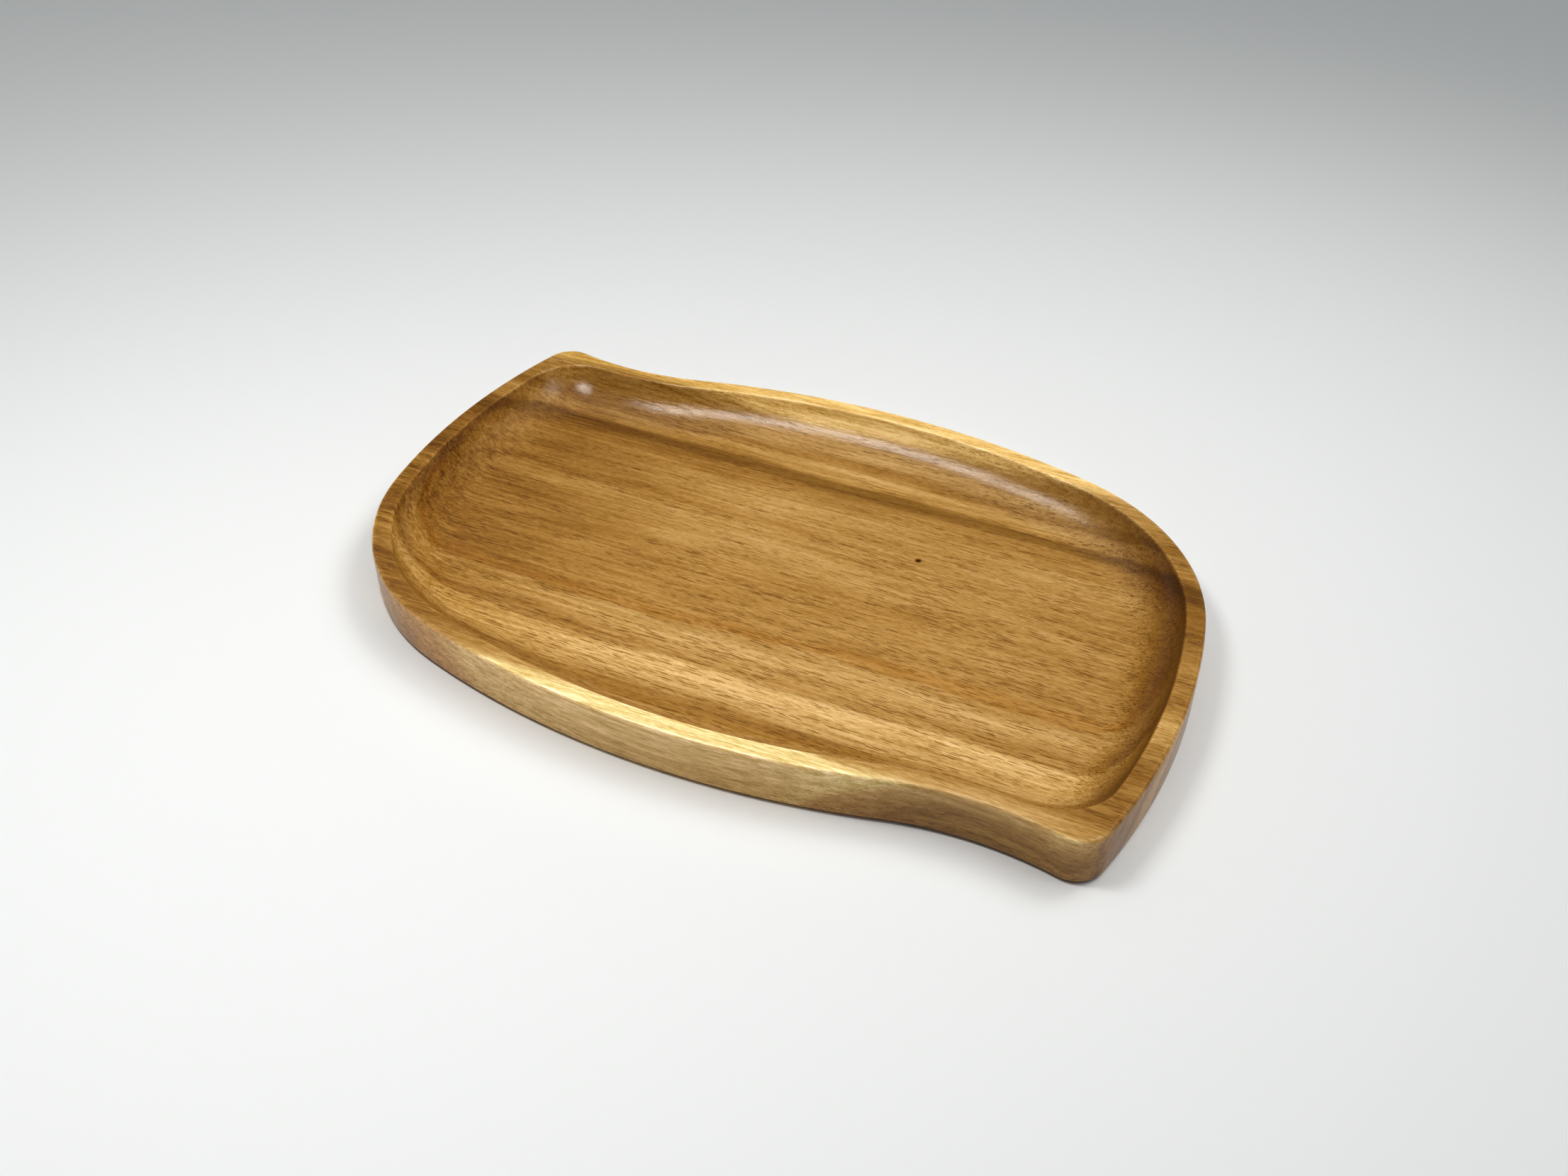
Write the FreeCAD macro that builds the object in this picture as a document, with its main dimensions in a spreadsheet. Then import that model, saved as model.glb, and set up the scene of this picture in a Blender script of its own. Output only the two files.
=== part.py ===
import FreeCAD, Part
import math
import os

import Sketcher

# Coin tray: one board of hardwood with a wavy leaf outline, hollowed by a single shallow pocket.
# The tray looks the same after half a turn about the upright axis through its centre, so five
# tangent arcs are worked out for one half of every outline and the other half repeats them.
# Millimetres. Origin in the middle of the flat underside, +X along the length, +Z up.

DRIVING = {
    "tray_length": 250.0,          # overall, along X
    "tray_width": 168.6,           # overall, along Y, from crown to crown
    "wall_height": 15.0,           # thickness of the board
    "crown_radius": 249.0,         # long bulge of each side
    "crown_shift": -6.6,           # X of the highest point of the far crown
    "end_radius": 200.0,           # gentle curve of each end
    "end_shift": 16.0,             # Y of the furthest point of the left end
    "shoulder_radius": 71.0,       # full corner between a crown and an end
    "dip_radius": 97.5,            # hollow curve beside the pointed corner
    "dip_from_end": 43.0,          # deepest point of the dip, along X from the end
    "corner_radius": 8.5,          # pointed corner
    "rim_width": 5.5,              # flat top of the wall
    "pocket_depth": 10.5,          # rim down to the flat floor
    "pocket_corner_radius": 17.0,  # pointed corner of the pocket, at the rim
    "cove_width": 15.5,            # from the pocket's edge to the flat floor, seen from above
    "cove_sweep": 68.0,            # degrees that the cove turns through, up from the floor
    "floor_corner_radius": 8.0,    # pointed corner of the flat floor
    "rim_edge_round": 1.0,         # outer edge of the rim
    "pocket_edge_round": 0.8,      # inner edge of the rim
    "base_edge_round": 2.0,        # edge of the underside
}

COVE_STEPS = 5                     # steps between the floor's outline and the pocket's edge
TOUCH = 0.001                      # how near counts as lying on an outline

SHOULDER, CROWN, DIP, CORNER, END = range(5)
ARC_NAMES = ("shoulder", "crown", "dip", "corner", "end")
HALF = len(ARC_NAMES)              # arcs in one half of an outline
START, FINISH, CENTRE = 1, 2, 3    # the points of an arc in a sketch
ORIGIN = (-1, 1)                   # the sketch's own origin point
UP = FreeCAD.Vector(0, 0, 1)

doc = FreeCAD.newDocument("CoinTray")


# ---------------------------------------------------------------- driving dimensions

def make_sheet():
    sheet = doc.addObject("Spreadsheet::Sheet", "Dims")
    for row, (alias, value) in enumerate(DRIVING.items(), start=1):
        sheet.set(f"A{row}", alias)
        sheet.set(f"B{row}", str(value))
        sheet.setAlias(f"B{row}", alias)
    doc.recompute()
    return sheet


def size(alias):
    return float(sheet.get(alias))


# ---------------------------------------------------------------- one half of an outline

def crossings(centre_a, radius_a, centre_b, radius_b):
    """Both points where two circles cross."""
    apart = centre_b - centre_a
    along = (apart.Length ** 2 + radius_a ** 2 - radius_b ** 2) / (2 * apart.Length)
    across = math.sqrt(radius_a ** 2 - along ** 2)
    ahead = FreeCAD.Vector(apart).normalize()
    beside = UP.cross(ahead)
    foot = centre_a + ahead * along
    return foot + beside * across, foot - beside * across


def point_towards(centre, radius, other):
    """The point of a circle in the direction of another centre, where the two circles touch."""
    return centre + FreeCAD.Vector(other - centre).normalize() * radius


def half_outline(inset, corner_radius):
    """Centre, radius, start and finish of the shoulder, crown, dip, corner and end arcs.

    The half runs anticlockwise from the right end to the left end. An inset moves each arc
    inwards about its own centre, and the corner takes a centre that suits its own radius.
    """
    end_radius = size("end_radius") - inset
    crown_radius = size("crown_radius") - inset
    shoulder_radius = size("shoulder_radius") - inset
    dip_radius = size("dip_radius") + inset

    end = FreeCAD.Vector(size("end_radius") - size("tray_length") / 2, size("end_shift"), 0)
    right_end = end * -1
    crown_y = size("tray_width") / 2 - size("crown_radius")
    crown = FreeCAD.Vector(size("crown_shift"), crown_y, 0)
    shoulder = max(
        crossings(crown, crown_radius - shoulder_radius, right_end, end_radius - shoulder_radius),
        key=lambda point: point.x + point.y,
    )
    dip_x = size("dip_from_end") - size("tray_length") / 2
    dip_rise = math.sqrt((crown_radius + dip_radius) ** 2 - (dip_x - crown.x) ** 2)
    dip = FreeCAD.Vector(dip_x, crown.y + dip_rise, 0)
    corner = min(
        crossings(end, end_radius - corner_radius, dip, dip_radius + corner_radius),
        key=lambda point: point.x,
    )

    right_end_to_shoulder = point_towards(right_end, end_radius, shoulder)
    shoulder_to_crown = point_towards(crown, crown_radius, shoulder)
    crown_to_dip = point_towards(crown, crown_radius, dip)
    dip_to_corner = point_towards(corner, corner_radius, dip)
    corner_to_end = point_towards(end, end_radius, corner)
    return [
        (shoulder, shoulder_radius, right_end_to_shoulder, shoulder_to_crown),
        (crown, crown_radius, shoulder_to_crown, crown_to_dip),
        (dip, dip_radius, dip_to_corner, crown_to_dip),
        (corner, corner_radius, dip_to_corner, corner_to_end),
        (end, end_radius, corner_to_end, right_end_to_shoulder * -1),
    ]


# ---------------------------------------------------------------- whole outlines as sketches

def make_arc(centre, radius, start, finish):
    start_angle = math.atan2(start.y - centre.y, start.x - centre.x)
    finish_angle = math.atan2(finish.y - centre.y, finish.x - centre.x)
    if finish_angle < start_angle:
        finish_angle += 2 * math.pi
    return Part.ArcOfCircle(Part.Circle(centre, UP, radius), start_angle, finish_angle)


def ends_along_outline(index):
    """First and last point of an arc on the way round: the hollow dip is passed backwards."""
    return (FINISH, START) if index % HALF == DIP else (START, FINISH)


def outline_sketch(body, name, inset, corner_radius, rules):
    """A closed outline of ten tangent arcs, held by rules that read the sheet.

    The numbers place the arcs where the rules will hold them. The rules are expressions for
    the inset, the corner's radius and the height of the sketch.
    """
    sketch = body.newObject("Sketcher::SketchObject", name)
    plane = next(item for item in body.Origin.OriginFeatures if item.Role == "XY_Plane")
    sketch.AttachmentSupport = [(plane, "")]
    sketch.MapMode = "FlatFace"
    sketch.setExpression("AttachmentOffset.Base.z", rules["level"])

    arcs = half_outline(inset, corner_radius)
    for centre, radius, start, finish in arcs:
        sketch.addGeometry(make_arc(centre, radius, start, finish), False)
    for centre, radius, start, finish in arcs:
        sketch.addGeometry(make_arc(centre * -1, radius, start * -1, finish * -1), False)

    for index in range(2 * HALF):
        after = (index + 1) % (2 * HALF)
        meeting = (index, ends_along_outline(index)[1], after, ends_along_outline(after)[0])
        kind = "Tangent" if index < HALF else "Coincident"
        sketch.addConstraint(Sketcher.Constraint(kind, *meeting))
    for index in range(HALF):
        twin = index + HALF
        last = ends_along_outline(index)[1]
        sketch.addConstraint(Sketcher.Constraint("Symmetric", index, last, twin, last, *ORIGIN))
        sketch.addConstraint(Sketcher.Constraint("Equal", index, twin))

    def hold(label, constraint, rule):
        sketch.addConstraint(constraint)
        sketch.renameConstraint(sketch.ConstraintCount - 1, label)
        sketch.setExpression(f"Constraints.{label}", rule)

    radius_rules = (
        f"Dims.shoulder_radius - ({rules['inset']})",
        f"Dims.crown_radius - ({rules['inset']})",
        f"Dims.dip_radius + ({rules['inset']})",
        rules["corner"],
        f"Dims.end_radius - ({rules['inset']})",
    )
    for index, rule in enumerate(radius_rules):
        radius = arcs[index][1]
        hold(f"{ARC_NAMES[index]}_radius", Sketcher.Constraint("Radius", index, radius), rule)

    centre_rules = (
        (END, "x", "Dims.end_radius - Dims.tray_length / 2"),
        (END, "y", "Dims.end_shift"),
        (CROWN, "x", "Dims.crown_shift"),
        (CROWN, "y", "Dims.tray_width / 2 - Dims.crown_radius"),
        (DIP, "x", "Dims.dip_from_end - Dims.tray_length / 2"),
    )
    for index, axis, rule in centre_rules:
        place = getattr(arcs[index][0], axis)
        kind = "Distance" + axis.upper()
        distance = Sketcher.Constraint(kind, *ORIGIN, index, CENTRE, place)
        hold(f"{ARC_NAMES[index]}_{axis}", distance, rule)
    return sketch


# ---------------------------------------------------------------- the board

def outer_outline(body):
    rules = {"inset": "0", "corner": "Dims.corner_radius", "level": "0"}
    return outline_sketch(body, "outer_outline", 0.0, size("corner_radius"), rules)


def pad_board(body, outline):
    """The uncut board, as thick as the wall is high."""
    pad = body.newObject("PartDesign::Pad", "board")
    pad.Profile = outline
    pad.setExpression("Length", "Dims.wall_height")
    doc.recompute()
    return pad


# ---------------------------------------------------------------- the pocket

def pocket_outline(body, step):
    """A level outline of the pocket: step 0 bounds the flat floor, the last step is the rim."""
    sweep = math.radians(size("cove_sweep"))
    spread = math.sin(sweep * step / COVE_STEPS) / math.sin(sweep)
    inset = size("rim_width") + size("cove_width") * (1 - spread)
    corner_growth = size("pocket_corner_radius") - size("floor_corner_radius")
    corner_radius = size("floor_corner_radius") + corner_growth * spread

    angle_rule = f"Dims.cove_sweep * {step} / {COVE_STEPS}"
    spread_rule = f"sin({angle_rule}) / sin(Dims.cove_sweep)"
    rise_rule = f"(1 - cos({angle_rule})) / (1 - cos(Dims.cove_sweep))"
    growth_rule = "(Dims.pocket_corner_radius - Dims.floor_corner_radius)"
    rules = {
        "inset": f"Dims.rim_width + Dims.cove_width * (1 - {spread_rule})",
        "corner": f"Dims.floor_corner_radius + {growth_rule} * {spread_rule}",
        "level": f"Dims.wall_height - Dims.pocket_depth * (1 - {rise_rule})",
    }
    return outline_sketch(body, f"pocket_outline_{step}", inset, corner_radius, rules)


def cut_pocket(body, outlines):
    """The hollow: a flat floor that sweeps up all round into the cove."""
    loft = body.newObject("PartDesign::SubtractiveLoft", "pocket")
    loft.Profile = outlines[0]
    loft.Sections = outlines[1:]
    loft.Ruled = False
    loft.Closed = False
    doc.recompute()
    return loft


# ---------------------------------------------------------------- softened edges

def edges_along(feature, outline, level):
    """Names of the feature's edges that follow a sketched outline at the given height."""
    names = []
    for number, edge in enumerate(feature.Shape.Edges, start=1):
        middle = edge.valueAt((edge.FirstParameter + edge.LastParameter) / 2)
        if abs(middle.z - level) > TOUCH:
            continue
        beneath = Part.Vertex(middle.x, middle.y, outline.Shape.BoundBox.ZMin)
        if outline.Shape.distToShape(beneath)[0] < TOUCH:
            names.append(f"Edge{number}")
    return names


def round_edges(body, name, outline, level, radius_alias):
    feature = body.Tip
    fillet = body.newObject("PartDesign::Fillet", name)
    fillet.Base = (feature, edges_along(feature, outline, level))
    fillet.setExpression("Radius", f"Dims.{radius_alias}")
    doc.recompute()


# ---------------------------------------------------------------- the tray

def make_tray_body():
    body = doc.addObject("PartDesign::Body", "tray_body")
    body.Label = "tray_body"
    outer = outer_outline(body)
    board = pad_board(body, outer)
    outlines = [pocket_outline(body, step) for step in range(COVE_STEPS + 1)]
    pocket = cut_pocket(body, outlines)
    rim_level = size("wall_height")
    round_edges(body, "base_round", outer, 0.0, "base_edge_round")
    round_edges(body, "rim_round", outer, rim_level, "rim_edge_round")
    round_edges(body, "pocket_round", outlines[-1], rim_level, "pocket_edge_round")
    body.Placement = FreeCAD.Placement()
    doc.recompute()

    removed = board.Shape.Volume - pocket.Shape.Volume
    floor_area = Part.Face(outlines[0].Shape).Area
    if removed < floor_area * size("pocket_depth"):
        raise RuntimeError("the pocket holds less than its flat floor times its depth")
    print("pocket volume", round(removed), "mm3 over a floor of", round(floor_area), "mm2")
    return body


def check_document(bodies):
    for item in doc.Objects:
        if "Invalid" in item.State or "Error" in item.State:
            raise RuntimeError(f"{item.Label} failed: {item.State}")
    for body in bodies:
        if body.Shape.isNull() or not body.Shape.isValid():
            raise RuntimeError(f"{body.Label} has no valid shape")
        print(body.Label, "solids", len(body.Shape.Solids), "volume", round(body.Shape.Volume))


def export(bodies):
    os.makedirs("parts", exist_ok=True)
    for body in bodies:
        body.Shape.exportStep(f"parts/{body.Label}.step")


sheet = make_sheet()
bodies = [make_tray_body()]
check_document(bodies)
export(bodies)
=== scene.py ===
"""A coin tray carved from one board of golden-brown hardwood, under satin lacquer.

The whole tray is one piece, tray_body. Its wavy leaf outline repeats after half a turn, so every
level ring of the surface is five tangent arcs and their half-turn copies. The wood is one solid
pattern of growth rings, fibres and pores, so floor, coves, rim and walls show the same board.
"""

import math

import bmesh
import bpy
from mathutils import Matrix, Vector


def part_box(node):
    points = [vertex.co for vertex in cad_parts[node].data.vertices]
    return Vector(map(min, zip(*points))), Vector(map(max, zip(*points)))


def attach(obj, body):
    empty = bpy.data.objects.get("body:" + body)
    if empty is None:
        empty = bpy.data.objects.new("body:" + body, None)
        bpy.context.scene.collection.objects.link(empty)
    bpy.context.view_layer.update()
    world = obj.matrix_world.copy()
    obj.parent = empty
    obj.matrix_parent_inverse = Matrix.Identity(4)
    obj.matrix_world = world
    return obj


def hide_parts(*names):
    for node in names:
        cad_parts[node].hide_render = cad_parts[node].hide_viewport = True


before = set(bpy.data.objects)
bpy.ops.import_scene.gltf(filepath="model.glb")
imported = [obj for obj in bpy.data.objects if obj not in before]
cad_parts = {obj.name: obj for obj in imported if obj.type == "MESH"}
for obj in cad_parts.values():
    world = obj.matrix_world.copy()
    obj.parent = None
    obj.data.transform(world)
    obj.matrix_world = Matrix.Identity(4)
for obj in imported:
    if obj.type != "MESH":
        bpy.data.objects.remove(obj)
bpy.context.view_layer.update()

MM = 0.001
UP = Vector((0, 0, 1))

# ---------------------------------------------------------------- sizes, in millimetres

low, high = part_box("tray_body")
LENGTH = (high.x - low.x) / MM
WIDTH = (high.y - low.y) / MM
HEIGHT = (high.z - low.z) / MM

CROWN_RADIUS = 249.0           # long bulge of each side
CROWN_SHIFT = -6.6             # X of the highest point of the far crown
END_RADIUS = 200.0             # gentle curve of each end
END_SHIFT = 16.0               # Y of the furthest point of the left end
SHOULDER_RADIUS = 71.0         # full corner between a crown and an end
DIP_RADIUS = 97.5              # hollow curve beside the pointed corner
DIP_FROM_END = 43.0            # deepest point of the dip, along X from the end
CORNER_RADIUS = 8.5            # pointed corner
RIM_WIDTH = 5.5                # flat top of the wall
POCKET_DEPTH = 10.5            # rim down to the flat floor
POCKET_CORNER_RADIUS = 17.0    # pointed corner of the pocket, at the rim
COVE_WIDTH = 15.5              # from the pocket's edge to the flat floor, seen from above
COVE_SWEEP = math.radians(68)  # the cove turns through this, up from the floor
FLOOR_CORNER_RADIUS = 8.0      # pointed corner of the flat floor
RIM_EDGE_ROUND = 1.0           # outer edge of the rim
POCKET_EDGE_ROUND = 0.8        # inner edge of the rim
BASE_EDGE_ROUND = 2.0          # edge of the underside

RIM_EDGE_WEAR_AND_HIGHLIGHT = 1.0            # how much the lacquer has thinned on the rim's outer edge, and how much painted highlight it gets
POCKET_EDGE_WEAR_AND_HIGHLIGHT = 0.8         # and on its inner edge

ROUND_STEPS = 6                # rings around each softened edge
COVE_STEPS = 26                # rings up the cove
SUPPORT = 0.4                  # a ring this far into each flat keeps the flat's shading flat
FACET = 2.0                    # longest side of a facet along an outline
CORNER_TURN = math.radians(8)  # most that one facet turns in a tight corner

# ---------------------------------------------------------------- one level ring of the surface


def heading(centre, towards):
    return math.atan2(towards.y - centre.y, towards.x - centre.x)


def crossings(centre_a, radius_a, centre_b, radius_b):
    """Both points where two circles cross."""
    apart = centre_b - centre_a
    along = (apart.length ** 2 + radius_a ** 2 - radius_b ** 2) / (2 * apart.length)
    across = math.sqrt(radius_a ** 2 - along ** 2)
    ahead = apart.normalized()
    foot = centre_a + ahead * along
    return foot + UP.cross(ahead) * across, foot - UP.cross(ahead) * across


def half_outline(inset, corner_radius):
    """The right end's first point, and the centre and sweep of the five arcs that follow it."""
    end_radius = END_RADIUS - inset
    crown_radius = CROWN_RADIUS - inset
    shoulder_radius = SHOULDER_RADIUS - inset
    dip_radius = DIP_RADIUS + inset

    end = Vector((END_RADIUS - LENGTH / 2, END_SHIFT, 0))
    right_end = -end
    crown = Vector((CROWN_SHIFT, WIDTH / 2 - CROWN_RADIUS, 0))
    shoulder = max(
        crossings(crown, crown_radius - shoulder_radius, right_end, end_radius - shoulder_radius),
        key=lambda point: point.x + point.y,
    )
    dip_x = DIP_FROM_END - LENGTH / 2
    dip_rise = math.sqrt((crown_radius + dip_radius) ** 2 - (dip_x - crown.x) ** 2)
    dip = Vector((dip_x, crown.y + dip_rise, 0))
    corner = min(
        crossings(end, end_radius - corner_radius, dip, dip_radius + corner_radius),
        key=lambda point: point.x,
    )

    # where the path points from each arc's centre as it passes from one arc to the next
    turns = [
        heading(right_end, shoulder),
        heading(crown, shoulder),
        heading(crown, dip),
        heading(corner, dip),
        heading(end, corner),
        heading(end, -shoulder),
    ]
    sweeps = [(after - before) % math.tau for before, after in zip(turns, turns[1:])]
    sweeps[2] -= math.tau      # the hollow dip is passed the other way round
    start = right_end + (shoulder - right_end).normalized() * end_radius
    return start, list(zip((shoulder, crown, dip, corner, end), sweeps))


def arc_steps():
    """Facets in each arc, the same at every level so that the rings match."""
    start, arcs = half_outline(0, CORNER_RADIUS)
    radii = (SHOULDER_RADIUS, CROWN_RADIUS, DIP_RADIUS, CORNER_RADIUS, END_RADIUS)
    steps = []
    for (centre, sweep), radius in zip(arcs, radii):
        by_length = abs(sweep) * radius / FACET
        by_turn = abs(sweep) / CORNER_TURN
        steps.append(math.ceil(max(by_length, by_turn)))
    return steps


def ring_points(inset, corner_radius, level, steps):
    """Walks one point anticlockwise round the ten arcs of a level ring."""
    point, arcs = half_outline(inset, corner_radius)
    lift = Vector((0, 0, level))
    for side in (1, -1):
        for (centre, sweep), count in zip(arcs, steps):
            turn = Matrix.Rotation(sweep / count, 3, "Z")
            for step in range(count):
                yield point + lift
                point = centre * side + turn @ (point - centre * side)


def next_ring(mesh, ring, points):
    """Extrudes a ring of vertices and moves the new ones onto the given points."""
    edges = [mesh.edges.get(pair) for pair in zip(ring, ring[1:] + ring[:1])]
    made = bmesh.ops.extrude_edge_only(mesh, edges=edges)["geom"]
    fresh = {item for item in made if isinstance(item, bmesh.types.BMVert)}
    following = []
    for vertex in ring:
        ends = (edge.other_vert(vertex) for edge in vertex.link_edges)
        following.append(next(end for end in ends if end in fresh))
    for vertex, point in zip(following, points):
        vertex.co = point
    return following


# ---------------------------------------------------------------- the tray's section, ring by ring


def quarter(radius, centre_inset, centre_level, first_angle, last_angle):
    """Insets and levels round a softened edge; an angle is 0 outwards and a quarter turn up."""
    for step in range(ROUND_STEPS + 1):
        angle = first_angle + (last_angle - first_angle) * step / ROUND_STEPS
        yield centre_inset - radius * math.cos(angle), centre_level + radius * math.sin(angle)


def outer_section():
    """Up the outside: underside, rounded base edge, wall, rounded rim edge. Each with its share of
    thin lacquer and painted highlight.
    """
    base = BASE_EDGE_ROUND
    edge = RIM_EDGE_ROUND
    yield base + SUPPORT, 0.0, 0.0
    for inset, level in quarter(base, base, base, -math.pi / 2, 0.0):
        yield inset, level, 0.0
    for inset, level in quarter(edge, edge, HEIGHT - edge, 0.0, math.pi / 2):
        yield inset, level, RIM_EDGE_WEAR_AND_HIGHLIGHT
    yield edge + SUPPORT, HEIGHT, 0.0


def cove_point(angle):
    """Inset, level and share of the way out, where the cove has turned through an angle."""
    spread = math.sin(angle) / math.sin(COVE_SWEEP)
    rise = (1 - math.cos(angle)) / (1 - math.cos(COVE_SWEEP))
    return RIM_WIDTH + COVE_WIDTH * (1 - spread), HEIGHT - POCKET_DEPTH * (1 - rise), spread


def inner_section():
    """Down the inside: rim, softened edge, cove, floor. Each with its corner radius and its share
    of thin lacquer and painted highlight.
    """
    edge = POCKET_EDGE_ROUND
    reach = edge * math.tan(COVE_SWEEP / 2)
    yield RIM_WIDTH - reach - SUPPORT, POCKET_CORNER_RADIUS + reach + SUPPORT, HEIGHT, 0.0
    turned = quarter(edge, RIM_WIDTH - reach, HEIGHT - edge, math.pi / 2, math.pi / 2 + COVE_SWEEP)
    for inset, level in turned:
        yield inset, POCKET_CORNER_RADIUS + RIM_WIDTH - inset, level, POCKET_EDGE_WEAR_AND_HIGHLIGHT
    slope_left = COVE_SWEEP - reach / COVE_WIDTH
    for step in range(COVE_STEPS):
        inset, level, spread = cove_point(slope_left * (1 - (step + 0.5) / COVE_STEPS))
        growth = (POCKET_CORNER_RADIUS - FLOOR_CORNER_RADIUS) * spread
        yield inset, FLOOR_CORNER_RADIUS + growth, level, 0.0
    floor = HEIGHT - POCKET_DEPTH
    yield RIM_WIDTH + COVE_WIDTH, FLOOR_CORNER_RADIUS, floor, 0.0
    yield RIM_WIDTH + COVE_WIDTH + SUPPORT, FLOOR_CORNER_RADIUS, floor, 0.0


def make_tray():
    mesh = bmesh.new()
    steps = arc_steps()
    section = [
        (inset, CORNER_RADIUS - inset, level, wear_and_highlight_share) for inset, level, wear_and_highlight_share in outer_section()
    ]
    section.extend(inner_section())
    wear_and_highlight = mesh.verts.layers.float.new("edge_wear_and_highlight")
    ring = bmesh.ops.create_circle(mesh, segments=2 * sum(steps), radius=1.0)["verts"]
    for vertex, point in zip(ring, ring_points(*section[0][:3], steps)):
        vertex.co = point
    bmesh.ops.contextual_create(mesh, geom=ring)
    for inset, corner_radius, level, wear_and_highlight_share in section[1:]:
        ring = next_ring(mesh, ring, ring_points(inset, corner_radius, level, steps))
        for vertex in ring:
            vertex[wear_and_highlight] = wear_and_highlight_share
    bmesh.ops.contextual_create(mesh, geom=ring)
    bmesh.ops.scale(mesh, vec=(MM, MM, MM), verts=mesh.verts)
    bmesh.ops.recalc_face_normals(mesh, faces=mesh.faces)
    for face in mesh.faces:
        face.smooth = True
    data = bpy.data.meshes.new("carved_tray")
    mesh.to_mesh(data)
    mesh.free()
    tray = bpy.data.objects.new("carved_tray", data)
    bpy.context.scene.collection.objects.link(tray)
    return tray


# ---------------------------------------------------------------- node helpers


class Nodes:
    """Short ways to add and join the nodes of one material."""

    def __init__(self, material):
        material.use_nodes = True
        self.tree = material.node_tree
        self.tree.nodes.clear()

    def add(self, kind, inputs=None, **settings):
        node = self.tree.nodes.new("ShaderNode" + kind)
        for name, value in settings.items():
            setattr(node, name, value)
        for socket, value in (inputs or {}).items():
            self.put(node.inputs[socket], value)
        return node

    def put(self, socket, value):
        if isinstance(value, bpy.types.NodeSocket):
            self.tree.links.new(value, socket)
        else:
            socket.default_value = value

    def math(self, operation, a, b=0.0, c=0.0):
        return self.add("Math", {0: a, 1: b, 2: c}, operation=operation).outputs[0]

    def slope(self, value, start, finish, low=0.0, high=1.0, curve="LINEAR"):
        """From low at the start to high at the finish, and level beyond them."""
        node = self.add("MapRange", {"Value": value}, interpolation_type=curve)
        self.put(node.inputs["From Min"], start)
        self.put(node.inputs["From Max"], finish)
        self.put(node.inputs["To Min"], low)
        self.put(node.inputs["To Max"], high)
        return node.outputs[0]

    def ease(self, value, start, finish, low=0.0, high=1.0):
        """A slope that starts and ends softly."""
        return self.slope(value, start, finish, low, high, curve="SMOOTHSTEP")

    def vector(self, x, y, z):
        return self.add("CombineXYZ", {0: x, 1: y, 2: z}).outputs[0]

    def stretch(self, point, sizes):
        """The point measured in steps of the given size along each axis."""
        scale = tuple(1 / size for size in sizes)
        return self.add("VectorMath", {0: point, 1: scale}, operation="MULTIPLY").outputs[0]

    def noise(self, point, sizes, detail=2.0, rough=0.5):
        inputs = {"Scale": 1.0, "Detail": detail, "Roughness": rough}
        inputs["Vector"] = self.stretch(point, sizes)
        return self.add("TexNoise", inputs).outputs["Fac"]

    def cells(self, point, sizes):
        """How far a point is from the middle of its cell, and three chances for that cell."""
        inputs = {"Vector": self.stretch(point, sizes), "Scale": 1.0, "Randomness": 1.0}
        node = self.add("TexVoronoi", inputs)
        return node.outputs["Distance"], node.outputs["Color"]

    def blend(self, share, a, b, mode="MIX"):
        node = self.add("Mix", {"Factor": share}, data_type="RGBA", blend_type=mode)
        self.put(node.inputs[6], a)
        self.put(node.inputs[7], b)
        return node.outputs[2]

    def ramp(self, value, start, finish, stops):
        """The colour at a value, between stops of a place and a colour."""
        node = self.add("ValToRGB", {"Fac": self.slope(value, start, finish)})
        band = node.color_ramp
        for index, (place, colour) in enumerate(stops):
            share = (place - start) / (finish - start)
            stop = band.elements[index] if index < 2 else band.elements.new(share)
            stop.position = share
            stop.color = (*colour, 1.0)
        return node.outputs["Color"]


def shade(red, green, blue):
    """A screen colour from 0 to 255 as the light it stands for."""
    light = []
    for part in (red, green, blue):
        part /= 255
        light.append(part / 12.92 if part <= 0.04045 else ((part + 0.055) / 1.055) ** 2.4)
    return tuple(light)


# ---------------------------------------------------------------- the wood

# The board was sawn flat from a log whose heart lies below it. The rings are circles about the
# heart, which runs nearly along X and sinks and swings a little towards the right end.
HEART_Y = 2.5
HEART_SWING = -0.025
HEART_DEPTH = 62.0
HEART_SINK = 0.0142
INNER_RING = 64.0
OUTER_RING = 118.0

GOLD = shade(190, 146, 79)
PALE_GOLD = shade(209, 165, 98)
HONEY = shade(181, 135, 67)
TAN = shade(163, 117, 50)
AMBER = shade(177, 126, 55)
BROWN = shade(135, 93, 32)
STRAW = shade(223, 180, 112)
FAR_SAPWOOD = shade(255, 211, 130)
NEAR_SAPWOOD = shade(255, 226, 153)
WALL_TAN = shade(214, 150, 78)

FAR_RINGS = (                  # ring radius and colour, on the far side of the heart
    (64.0, HONEY), (66.6, GOLD), (69.0, HONEY), (74.5, GOLD), (76.5, HONEY), (79.5, TAN),
    (81.2, BROWN), (83.0, BROWN), (84.2, HONEY), (87.0, GOLD), (89.2, TAN), (90.6, TAN),
    (93.0, GOLD), (98.5, HONEY), (100.6, GOLD), (103.4, FAR_SAPWOOD), (118.0, FAR_SAPWOOD),
)
NEAR_RINGS = (                 # and on the near side
    (64.0, HONEY), (69.0, HONEY), (71.8, HONEY), (72.4, AMBER), (73.7, AMBER), (74.2, GOLD),
    (77.0, PALE_GOLD), (80.4, HONEY), (82.0, HONEY), (83.2, STRAW), (86.0, STRAW),
    (91.0, GOLD), (92.4, TAN), (94.6, TAN), (96.5, HONEY), (100.6, TAN), (102.2, HONEY),
    (104.6, TAN), (107.6, GOLD), (110.0, PALE_GOLD), (111.6, NEAR_SAPWOOD), (118.0, NEAR_SAPWOOD),
)

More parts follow.
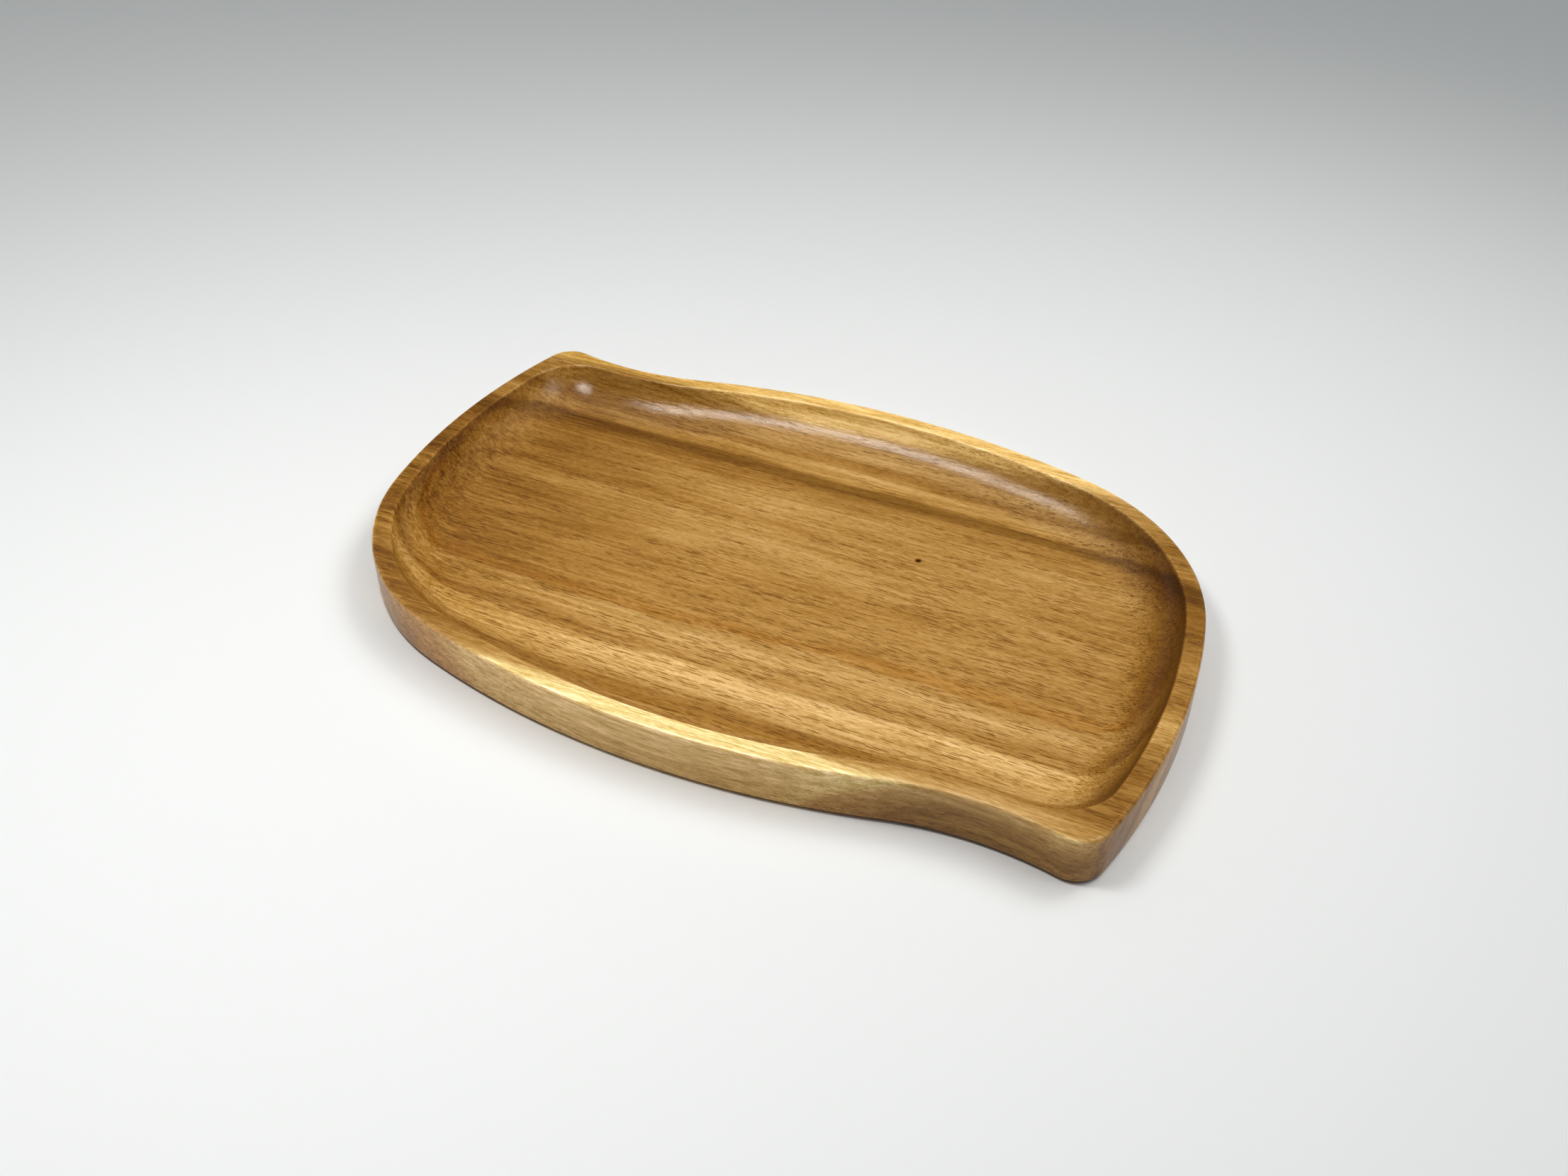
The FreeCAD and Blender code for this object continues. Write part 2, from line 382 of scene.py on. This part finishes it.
# Sizes of the patterns in millimetres: along the grain, then across it in both directions.
TORN_EDGE = (45.0, 2.6, 1.4)
PATCH = (46.0, 11.0, 6.0)
LAYER = (110.0, 30.0, 0.9)
STREAK = (26.0, 1.1, 1.1)
FIBRE = (2.6, 0.22, 0.22)
PORE_CROWD = (34.0, 7.0, 1.6)
PORE_CELL = (4.8, 0.46, 0.46)
FINE_PORE_CELL = (2.6, 0.27, 0.27)
TEAR_DEPTH = 0.6               # how far a ring's edge is torn to either side
PORE_STAGGER = (6.2, 4.3)      # how far the pores slip along the grain, for each step across

# How much light a place sends back, against plain long grain. Some of these are painted light or
# shade, as said beside them.
PORE = 0.47
FINE_PORE = 0.60
LEFT_END = 0.61                # darker and browner towards the left end of the board
LEFT_WALL = 0.9                # and its outer wall less so
LEFT_RIM_NEAR = 0.68           # the left rim is browner still in front
LEFT_RIM_FAR = 1.22            # and paler at the back
RIGHT_RIM = 0.76
# faces across the grain: painted light at the left end, and end grain with painted shade at the
# right end
LEFT_END_GRAIN_PAINTED_LIGHT = 1.12
RIGHT_END_GRAIN_AND_PAINTED_SHADE = 0.29
FRONT_END_GRAIN = 0.95
RIGHT_WALL_GRAIN = 0.85
STEEP_PAINTED_SHADE = 0.88                   # painted shade on walls, and on the steep part of the coves
KNOT = 0.10

EDGE_WEAR_AND_HIGHLIGHT = 0.5                # how much lighter the softened edges get, from thin lacquer and a painted highlight
KNOT_PLACE = (36.7, 23.0, 4.5)
GRAIN_DEPTH = 0.08             # millimetres that the lacquered grain stands proud


def part_of(nodes, vector):
    return nodes.add("SeparateXYZ", {0: vector}).outputs


def spread(nodes, noise, reach):
    """A noise as a push to either side of nothing."""
    return nodes.ease(noise, 0.25, 0.75, -reach, reach)


def darken(nodes, colour, tone):
    """Wood turns redder as it darkens: blue goes first, then green."""
    green = nodes.math("POWER", tone, 1.35)
    blue = nodes.math("POWER", tone, 2.5)
    return nodes.blend(1.0, colour, nodes.vector(tone, green, blue), mode="MULTIPLY")


def dim(nodes, tone, share, left):
    """The tone where a mark covers a share of it and leaves some of the light."""
    return nodes.math("MULTIPLY", tone, nodes.math("MULTIPLY_ADD", share, left - 1.0, 1.0))


class Board:
    """Where a point of the surface lies, how it leans, and its place in the log, in millimetres."""

    def __init__(self, nodes):
        texture = nodes.add("TexCoord").outputs
        self.place = nodes.stretch(texture["Object"], (MM, MM, MM))
        self.x, self.y, self.z = part_of(nodes, self.place)
        self.lean_x, self.lean_y, self.lean_z = part_of(nodes, texture["Normal"])
        self.find_in_log(nodes)
        self.find_front_wall(nodes)
        self.streaks = nodes.noise(self.straight, STREAK, detail=3.0, rough=0.65)
        self.fibres = nodes.noise(self.straight, FIBRE, detail=3.0, rough=0.7)

    def find_in_log(self, nodes):
        """Straight across the log, and as the rings run: along, round one, out from the heart."""
        heart_y = nodes.math("MULTIPLY_ADD", self.x, HEART_SWING, HEART_Y)
        heart_depth = nodes.math("MULTIPLY_ADD", self.x, HEART_SINK, HEART_DEPTH)
        self.across = nodes.math("SUBTRACT", self.y, heart_y)
        self.above = nodes.math("ADD", self.z, heart_depth)
        self.straight = nodes.vector(self.x, self.across, self.above)
        from_heart = nodes.vector(0.0, self.across, self.above)
        reach = nodes.add("VectorMath", {0: from_heart}, operation="LENGTH").outputs["Value"]
        turn = nodes.math("ARCTAN2", self.across, self.above)
        slow = spread(nodes, nodes.noise(self.straight, (70.0, 24.0, 24.0), detail=1.0), 0.8)
        quick = spread(nodes, nodes.noise(self.straight, (18.0, 5.0, 5.0)), 0.35)
        self.round_ring = nodes.math("MULTIPLY", turn, INNER_RING)
        self.radius = nodes.math("ADD", reach, nodes.math("ADD", slow, quick))
        self.log = nodes.vector(self.x, self.round_ring, self.radius)

    def find_front_wall(self, nodes):
        """The share of a point in the front wall, and in the pale left part of that wall."""
        facing = nodes.ease(self.lean_y, -0.75, -0.35, 1.0, 0.0)
        self.front = nodes.math("MULTIPLY", facing, nodes.ease(self.y, -70.0, -55.0, 1.0, 0.0))
        left_part = nodes.ease(self.x, 25.0, 75.0, 1.0, 0.0)
        self.pale_wall = nodes.math("MULTIPLY", self.front, left_part)


def ring_colour(nodes, board):
    """Growth rings, their edges torn along the grain. Sapwood runs down the front wall."""
    noise = nodes.noise(board.log, TORN_EDGE, detail=3.0, rough=0.6)
    radius = nodes.math("ADD", board.radius, spread(nodes, noise, TEAR_DEPTH))
    down = nodes.math("SUBTRACT", HEIGHT, board.z)
    sap_depth = nodes.math("MULTIPLY_ADD", down, 0.6, nodes.ease(board.x, -60.0, 10.0, 1.5, 0.0))
    radius = nodes.math("MULTIPLY_ADD", sap_depth, board.pale_wall, radius)
    far = nodes.ramp(radius, INNER_RING, OUTER_RING, FAR_RINGS)
    near = nodes.ramp(radius, INNER_RING, OUTER_RING, NEAR_RINGS)
    colour = nodes.blend(nodes.ease(board.round_ring, -5.0, 5.0), near, far)
    return nodes.blend(nodes.math("MULTIPLY", board.pale_wall, 0.5), colour, (*WALL_TAN, 1.0))


def grain_tone(nodes, board):
    """Broad patches, thin layers, streaks and fine fibres, all drawn out along the grain. The tone
    is also lower towards the left end and at the right rim, and the front wall gets a painted
    shade.
    """
    left = nodes.ease(board.x, -112.0, -5.0, LEFT_END, 1.0)
    rim = nodes.ease(board.y, 5.0, 52.0, LEFT_RIM_NEAR, LEFT_RIM_FAR)
    left = nodes.math("MULTIPLY", left, nodes.ease(board.x, -119.0, -100.0, rim, 1.0))
    left = nodes.math("MAXIMUM", left, nodes.ease(board.lean_x, -0.5, -0.1, LEFT_WALL, 0.0))
    left = nodes.math("MAXIMUM", left, board.front)
    right = nodes.ease(board.x, 95.0, 118.0, 1.0, RIGHT_RIM)
    right = nodes.math("MAXIMUM", right, board.front)
    patches = nodes.noise(board.log, PATCH, detail=3.0)
    layers = nodes.noise(board.log, LAYER, detail=3.0, rough=0.6)

    tone = nodes.math("ADD", spread(nodes, patches, 0.09), left)
    tone = nodes.math("MULTIPLY", tone, right)
    # painted shade: the front wall darker, less so on its pale left part
    painted_shade_on_front_wall = nodes.math("MULTIPLY", board.front, -0.17)
    painted_shade_on_front_wall = nodes.math("MULTIPLY_ADD", board.pale_wall, 0.12, painted_shade_on_front_wall)
    tone = nodes.math("MULTIPLY_ADD", tone, painted_shade_on_front_wall, tone)
    tone = nodes.math("ADD", tone, spread(nodes, layers, 0.08))
    tone = nodes.math("ADD", tone, spread(nodes, board.streaks, 0.20))
    return nodes.math("ADD", tone, spread(nodes, board.fibres, 0.20))


def make_pores(nodes, board):
    """Long thin vessels, cut open as dashes on the flats and as dots on the end coves."""
    slip_across, slip_above = PORE_STAGGER
    lag = nodes.math("MULTIPLY_ADD", board.across, slip_across, board.x)
    lag = nodes.math("MULTIPLY_ADD", board.above, slip_above, lag)
    staggered = nodes.vector(lag, board.across, board.above)

    # they crowd in bands, and more so towards the near right corner
    lower_right = nodes.math("MULTIPLY_ADD", board.x, 0.5, nodes.math("MULTIPLY", board.y, -1.0))
    crowd = nodes.noise(board.log, PORE_CROWD)
    crowd = nodes.math("ADD", crowd, nodes.ease(lower_right, -70.0, 50.0, -0.10, 0.07))
    widest = nodes.ease(crowd, 0.34, 0.62, 0.20, 0.56)

    gap, chance = nodes.cells(staggered, PORE_CELL)
    size = nodes.math("MULTIPLY", part_of(nodes, chance)[0], widest)
    pores = nodes.ease(nodes.math("SUBTRACT", size, gap), -0.02, 0.06)
    gap, chance = nodes.cells(staggered, FINE_PORE_CELL)
    size = nodes.math("MULTIPLY", part_of(nodes, chance)[0], 0.44)
    fine_pores = nodes.ease(nodes.math("SUBTRACT", size, gap), -0.03, 0.10)

    # the pale sapwood and the left cove show their pores less
    shown = nodes.ease(board.radius, 100.0, 110.0, 1.0, 0.4)
    shown = nodes.math("MULTIPLY", shown, nodes.ease(board.lean_x, 0.10, 0.55, 1.0, 0.35))
    return nodes.math("MULTIPLY", pores, shown), nodes.math("MULTIPLY", fine_pores, shown)


def worn_and_highlit_edges(nodes, board):
    """The lacquer is thin on the softened edges of the rim, and they carry a painted highlight,
    most where they face the front.
    """
    wear_and_highlight_share = nodes.add("Attribute", attribute_name="edge_wear_and_highlight").outputs["Fac"]
    wear_and_highlight_share = nodes.math("MULTIPLY", wear_and_highlight_share, nodes.ease(board.lean_y, -0.5, -0.05, 1.0, 0.3))
    return nodes.math("MULTIPLY", wear_and_highlight_share, board.streaks)


def end_grain_with_painted_light(nodes, board):
    """What the surface sends back where it cuts across the grain, most on a face square to it.
    There the left end gets painted light, and the right end is darker, from end grain and painted
    shade. The top of the left cove and all steep faces get painted shade.
    """
    left = nodes.ease(board.x, -20.0, 20.0, 1.0, 0.0)
    full = nodes.ease(board.x, -20.0, 20.0, LEFT_END_GRAIN_PAINTED_LIGHT, RIGHT_END_GRAIN_AND_PAINTED_SHADE)
    full = nodes.math("MAXIMUM", full, nodes.math("MULTIPLY", board.front, FRONT_END_GRAIN))
    full = nodes.math("MAXIMUM", full, nodes.ease(board.lean_x, 0.2, 0.6, 0.0, RIGHT_WALL_GRAIN))
    share = nodes.slope(nodes.math("ABSOLUTE", board.lean_x), 0.18, 0.9, 1.0, full)
    # painted shade on the steep top of the left cove, just under the pocket's edge
    painted_shade_under_left_rim = nodes.math("MULTIPLY", nodes.ease(board.lean_x, 0.74, 0.93, 0.0, -0.32), left)
    share = nodes.math("MULTIPLY_ADD", share, painted_shade_under_left_rim, share)
    # painted shade: darker where the surface is steep
    return nodes.math("MULTIPLY", share, nodes.ease(board.lean_z, 0.0, 0.6, STEEP_PAINTED_SHADE, 1.0))


def pin_knot(nodes, board):
    """One dark knot, right of the middle."""
    away = nodes.add("VectorMath", {0: board.place, 1: KNOT_PLACE}, operation="DISTANCE")
    return nodes.ease(away.outputs["Value"], 0.4, 1.5, KNOT, 1.0)


def make_hardwood():
    material = bpy.data.materials.new("hardwood")
    nodes = Nodes(material)
    board = Board(nodes)
    pores, fine_pores = make_pores(nodes, board)
    tone = dim(nodes, grain_tone(nodes, board), fine_pores, FINE_PORE)
    tone = dim(nodes, tone, pores, PORE)
    # the softened edges are lighter: thin lacquer and a painted highlight
    tone = nodes.math("MULTIPLY_ADD", worn_and_highlit_edges(nodes, board), EDGE_WEAR_AND_HIGHLIGHT, tone)
    # end grain, with painted light and shade on the end coves and steep faces
    tone = nodes.math("MULTIPLY", tone, end_grain_with_painted_light(nodes, board))
    tone = nodes.math("MULTIPLY", tone, pin_knot(nodes, board))

    height = nodes.math("MULTIPLY_ADD", board.fibres, 0.35, board.streaks)
    height = nodes.math("MULTIPLY_ADD", pores, -0.25, height)
    bump = nodes.add("Bump", {"Strength": 1.0, "Distance": GRAIN_DEPTH * MM, "Height": height})
    surface = nodes.add("BsdfPrincipled", {
        "Base Color": darken(nodes, ring_colour(nodes, board), tone),
        "Roughness": nodes.ease(board.streaks, 0.2, 0.8, 0.34, 0.46),
        "Normal": bump.outputs[0],
        "Specular IOR Level": 0.0,
        "Coat Weight": 0.72,
        "Coat Roughness": 0.14,
    })
    nodes.put(surface.inputs["Coat Normal"], bump.outputs[0])
    output = nodes.add("OutputMaterial")
    nodes.put(output.inputs["Surface"], surface.outputs[0])
    return material


# ---------------------------------------------------------------- floor, light and camera

FLOOR_REACH = 3.0              # metres, well past what any view takes in
FLOOR_COLOUR = (0.87, 0.89, 0.905, 1.0)
CAMERA_PLACE = Vector((138.5, -328.5, 277.1)) * MM
CAMERA_HEADING = math.radians(22.48)    # turned to the left of straight along +Y
CAMERA_PITCH = math.radians(37.93)      # looking down
CAMERA_ROLL = math.radians(0.49)
FOCAL_LENGTH = 34.66           # millimetres on a 36 mm wide frame

LAMP_COLOUR = (1.0, 0.975, 0.94)
STRIP_PLACE = (-0.176, -0.132, 0.50)    # metres; it faces straight down
STRIP_TURN = math.radians(-16)
STRIP_LENGTH = 0.20
STRIP_WIDTH = 0.021
STRIP_POWER = 1.25             # watts
WIDE = math.pi                 # a lamp that shines to all sides in front of it
SOFTBOXES = (                  # name, place and side in metres, watts, beam in degrees, in gloss
    ("right_softbox", (0.50, 0.15, 0.80), 0.5, 0.38, 80, True),
    ("back_softbox", (0.36, 0.45, 0.75), 0.40, 0.34, 60, False),
)
ROOM_COLOUR = (0.97, 0.99, 0.98, 1.0)


def make_camera():
    data = bpy.data.cameras.new("camera")
    data.lens = FOCAL_LENGTH
    data.sensor_width = 36.0
    data.clip_start = 10 * MM
    camera = bpy.data.objects.new("camera", data)
    turn = Matrix.Rotation(CAMERA_HEADING, 4, "Z")
    tilt = Matrix.Rotation(math.pi / 2 - CAMERA_PITCH, 4, "X")
    roll = Matrix.Rotation(CAMERA_ROLL, 4, "Z")
    camera.matrix_world = Matrix.Translation(CAMERA_PLACE) @ turn @ tilt @ roll
    bpy.context.scene.collection.objects.link(camera)
    bpy.context.scene.camera = camera


def make_floor():
    mesh = bmesh.new()
    bmesh.ops.create_grid(mesh, x_segments=1, y_segments=1, size=FLOOR_REACH)
    data = bpy.data.meshes.new("floor")
    mesh.to_mesh(data)
    mesh.free()
    floor = bpy.data.objects.new("floor", data)
    bpy.context.scene.collection.objects.link(floor)
    material = bpy.data.materials.new("pale_floor")
    nodes = Nodes(material)
    surface = nodes.add("BsdfPrincipled", {"Base Color": FLOOR_COLOUR, "Roughness": 0.6})
    output = nodes.add("OutputMaterial")
    nodes.put(output.inputs["Surface"], surface.outputs[0])
    data.materials.append(material)


def make_lamp(name, place, turn, width, depth, power, beam):
    data = bpy.data.lights.new(name, "AREA")
    data.shape = "RECTANGLE"
    data.size = width
    data.size_y = depth
    data.energy = power
    data.color = LAMP_COLOUR
    data.spread = beam
    lamp = bpy.data.objects.new(name, data)
    lamp.location = place
    lamp.rotation_euler = turn
    bpy.context.scene.collection.objects.link(lamp)
    return lamp


def facing_tray(place):
    return Vector(place).to_track_quat("Z", "Y").to_euler()


def make_lamps():
    turn = (0, 0, STRIP_TURN)
    make_lamp("strip_light", STRIP_PLACE, turn, STRIP_LENGTH, STRIP_WIDTH, STRIP_POWER, WIDE)
    for name, place, side, power, beam, in_gloss in SOFTBOXES:
        turn = facing_tray(place)
        softbox = make_lamp(name, place, turn, side, side, power, math.radians(beam))
        softbox.visible_glossy = in_gloss


def make_room():
    """A pale room: light from overhead, less from the front and the back, and a dim horizon."""
    world = bpy.data.worlds.new("studio")
    nodes = Nodes(world)
    x, away, up = part_of(nodes, nodes.add("TexCoord").outputs["Generated"])
    overhead = nodes.ease(up, 0.25, 0.95, 0.08, 0.80)
    overhead = nodes.math("MULTIPLY", overhead, nodes.ease(away, 0.3, 0.8, 1.0, 0.3))
    overhead = nodes.math("MULTIPLY", overhead, nodes.ease(away, -0.7, 0.1, 0.15, 1.0))
    horizon = nodes.ease(up, 0.05, 0.30, 0.34, 0.0)
    back = nodes.add("Background", {"Color": ROOM_COLOUR})
    nodes.put(back.inputs["Strength"], nodes.math("ADD", overhead, horizon))
    output = nodes.add("OutputWorld")
    nodes.put(output.inputs["Surface"], back.outputs[0])
    bpy.context.scene.world = world


# ---------------------------------------------------------------- everything in its place

tray = make_tray()
tray.data.materials.append(make_hardwood())
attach(tray, "root")
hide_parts("tray_body")

make_floor()
make_lamps()
make_room()
make_camera()
bpy.context.scene.view_settings.view_transform = "Standard"
